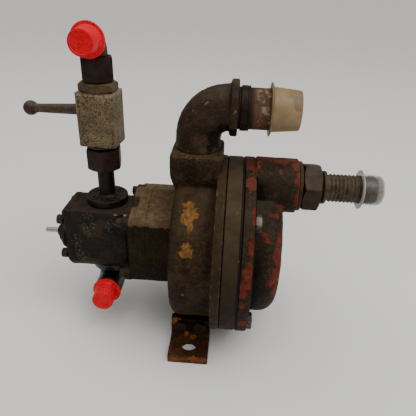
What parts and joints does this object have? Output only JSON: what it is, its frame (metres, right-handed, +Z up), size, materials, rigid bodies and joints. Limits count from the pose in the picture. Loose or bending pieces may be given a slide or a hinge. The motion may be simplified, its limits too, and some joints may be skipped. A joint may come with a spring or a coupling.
{
  "type": "fuel transfer pump",
  "caption": "Centrifugal transfer pump driven through an adapter by a gear motor, with a lever ball valve, discharge elbow, barbed hose tail and plastic port caps, on two angle feet.",
  "frame": {"origin": "middle of the line between the two foot holes, on the plane the feet stand on", "axes": "+X along the shaft towards the suction side, +Y away from the front foot, +Z up"},
  "size_m": [0.4762, 0.236, 0.4105],
  "materials": {
    "casing_paint": "matt, dusty and worn",
    "cover_paint": "matt, worn to red oxide primer",
    "adapter_paint": "matt, dusty",
    "motor_paint": "satin black, chipped",
    "gasket_black": "matt",
    "bolt_steel": "dull, rusty",
    "shaft_steel": "ground",
    "bronze": "machined",
    "seal_carbon": "lapped",
    "seat_plastic": "smooth",
    "oil_pipe": "rusty dark paint",
    "valve_zinc": "dull plated, pitted",
    "fitting_steel": "dull, brown",
    "lever_rust": "rusty",
    "elbow_iron": "rough, oily",
    "pipe_rust": "rusty",
    "hose_tail_metal": "dull, dusty",
    "red_plastic": "smooth",
    "white_plastic": "grubby",
    "clear_plastic": "translucent, soft",
    "foot_rust": "rusty steel"
  },
  "bodies": {
    "pump": {"volute_casing": "casing_paint", "intermediate_ring": "casing_paint", "cover_gasket": "gasket_black", "suction_cover": "cover_paint", "cover_bolts": "bolt_steel", "wear_ring": "bronze", "shaft_bearing": "shaft_steel", "seal_seat": "seal_carbon", "adapter_housing": "adapter_paint", "adapter_plate": "adapter_paint", "adapter_screws": "bolt_steel", "motor_front_flange": "motor_paint", "motor_flange_screws": "bolt_steel", "motor_body": "motor_paint", "motor_end_cover": "motor_paint", "motor_through_bolts": "bolt_steel", "front_bearing_block": "bronze", "rear_bearing_block": "bronze", "motor_shaft_seal": "gasket_black", "port_pipe": "oil_pipe", "top_port_screws": "bolt_steel", "top_port_seal": "gasket_black", "low_elbow": "oil_pipe", "low_port_screws": "bolt_steel", "low_port_seal": "gasket_black", "lower_union_nut": "oil_pipe", "lower_valve_end": "oil_pipe", "valve_body": "valve_zinc", "valve_seats": "seat_plastic", "valve_gland": "valve_zinc", "upper_valve_end": "fitting_steel", "upper_union_nut": "fitting_steel", "top_elbow": "fitting_steel", "discharge_elbow": "elbow_iron", "reducer_bushing": "elbow_iron", "pipe_nipple": "pipe_rust", "hose_tail": "hose_tail_metal", "foot_front": "foot_rust", "foot_rear": "foot_rust", "foot_bolts": "bolt_steel"},
    "rotor": {"impeller": "bronze", "impeller_key": "shaft_steel", "impeller_nut": "bolt_steel", "pump_shaft": "shaft_steel", "seal_face": "seal_carbon", "pump_coupling_hub": "shaft_steel", "coupling_spider": "gasket_black", "motor_coupling_hub": "shaft_steel", "drive_gear_shaft": "shaft_steel"},
    "idler": {"idler_gear_shaft": "shaft_steel"},
    "valve_handle": {"valve_ball": "shaft_steel", "valve_stem": "shaft_steel", "valve_lever": "lever_rust", "lever_nut": "bolt_steel"},
    "red_cap_top": {"red_cap_top": "red_plastic"},
    "red_cap_bottom": {"red_cap_bottom": "red_plastic"},
    "white_cap": {"white_cap": "white_plastic"},
    "clear_cap": {"clear_cap": "clear_plastic"}
  },
  "joints": [
    {"name": "rotor_spin", "type": "hinge", "parent": "pump", "child": "rotor", "pos_m": [-0.0415, 0, 0.135], "axis": [1, 0, 0], "continuous": true},
    {"name": "idler_spin", "type": "hinge", "parent": "pump", "child": "idler", "pos_m": [-0.1315, 0.026, 0.135], "axis": [1, 0, 0], "continuous": true},
    {"name": "valve_turn", "type": "hinge", "parent": "pump", "child": "valve_handle", "pos_m": [-0.1235, 0.013, 0.2972], "axis": [0.0872, 0.9962, 0], "range_deg": [0, 90]},
    {"name": "red_cap_top_pull", "type": "slide", "parent": "pump", "child": "red_cap_top", "axis": [0, -1, 0], "range_m": [0, 0.06]},
    {"name": "red_cap_bottom_pull", "type": "slide", "parent": "pump", "child": "red_cap_bottom", "axis": [0, -1, 0], "range_m": [0, 0.06]},
    {"name": "white_cap_pull", "type": "slide", "parent": "pump", "child": "white_cap", "axis": [1, 0, 0], "range_m": [0, 0.06]},
    {"name": "clear_cap_pull", "type": "slide", "parent": "pump", "child": "clear_cap", "axis": [1, 0, 0], "range_m": [0, 0.06]}
  ],
  "couplings": [
    {"joint": "idler_spin", "follows": "rotor_spin", "ratio": -1}
  ]
}
